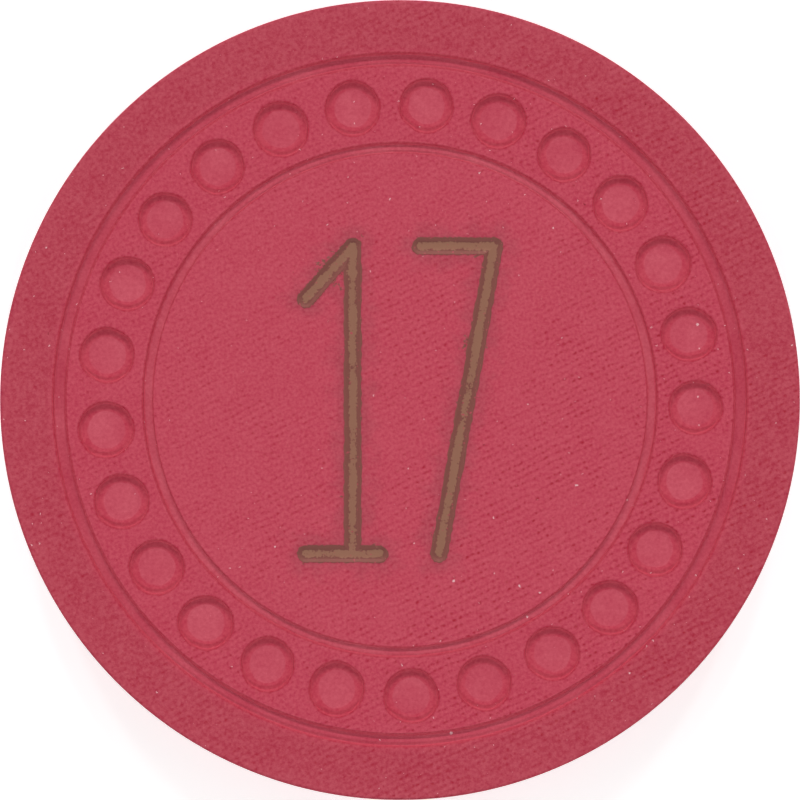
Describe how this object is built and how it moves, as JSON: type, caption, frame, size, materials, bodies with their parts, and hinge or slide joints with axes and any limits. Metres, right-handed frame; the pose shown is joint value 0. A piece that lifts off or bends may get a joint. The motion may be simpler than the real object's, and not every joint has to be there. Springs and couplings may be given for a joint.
{
  "type": "roulette chip",
  "caption": "Round moulded clay gaming chip with ring grooves, a ring of round dimples and a plain gold-stamped number on both faces.",
  "frame": {"origin": "centre of the back face, on the plane of its rim, which the chip rests on", "axes": "+Z out of the front face, through the thickness; +Y towards the top of the number on the front face; +X to its right"},
  "size_m": [0.039, 0.039, 0.0033],
  "materials": {
    "clay": "matte",
    "gold_leaf": "satin"
  },
  "bodies": {
    "root": {"chip_body": "clay", "front_foil_one": "gold_leaf", "front_foil_seven": "gold_leaf", "back_foil_one": "gold_leaf", "back_foil_seven": "gold_leaf"}
  },
  "joints": []
}
